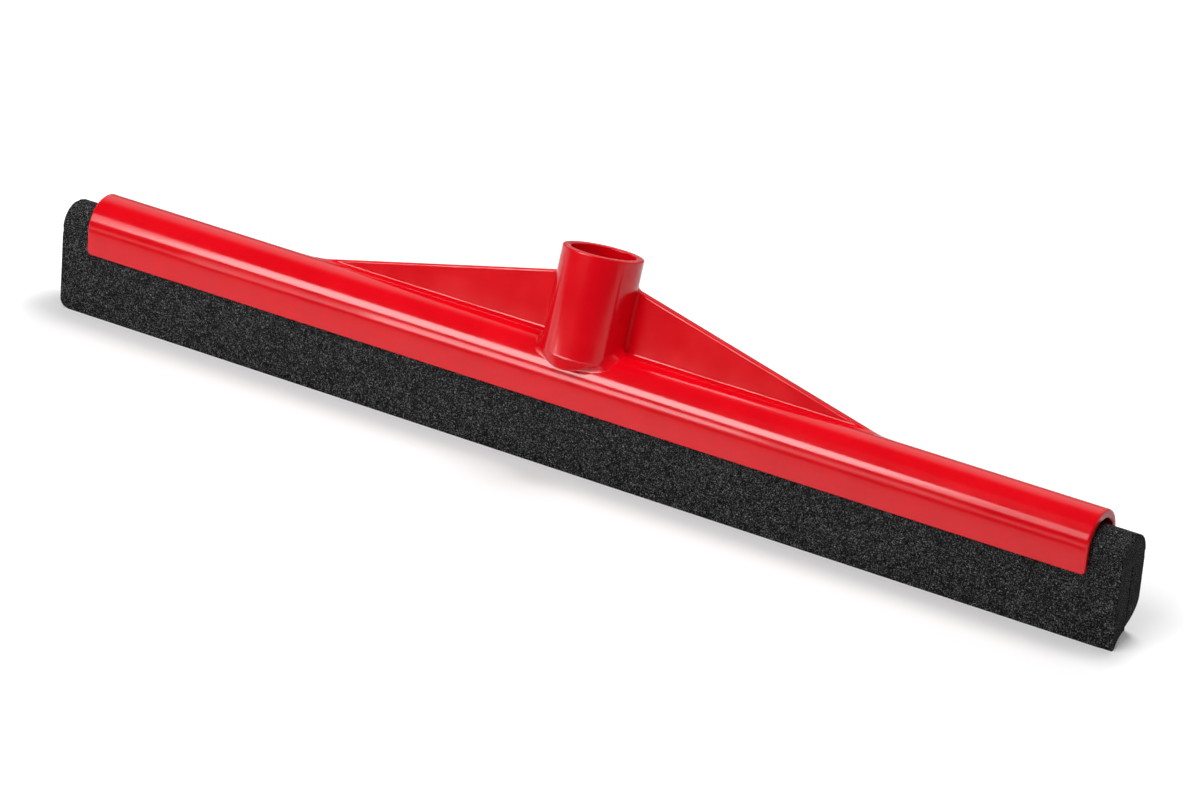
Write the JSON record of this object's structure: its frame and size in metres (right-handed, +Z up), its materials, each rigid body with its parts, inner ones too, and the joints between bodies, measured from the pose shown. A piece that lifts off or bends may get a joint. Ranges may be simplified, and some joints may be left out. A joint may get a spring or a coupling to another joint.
{
  "type": "floor squeegee head",
  "caption": "Floor squeegee head: a domed plastic channel with a leaning ribbed handle socket grips a double-lip moss rubber blade that slides out lengthwise.",
  "frame": {"origin": "middle of the part's box on the floor plane that the lips stand on", "axes": "+X along the blade, +Y to the back, the way the handle socket leans, +Z up from the floor"},
  "size_m": [0.45, 0.0398, 0.085],
  "materials": {
    "red_plastic": "glossy injection-moulded red polypropylene",
    "moss_rubber": "matte black closed-cell moss rubber with an open-grained cut face"
  },
  "bodies": {
    "holder": {"holder": "red_plastic"},
    "blade": {"moss_blade": "moss_rubber"}
  },
  "joints": [
    {"name": "blade_slide", "type": "slide", "parent": "holder", "child": "blade", "axis": [1, 0, 0], "range_m": [-0.44, 0.44]}
  ]
}
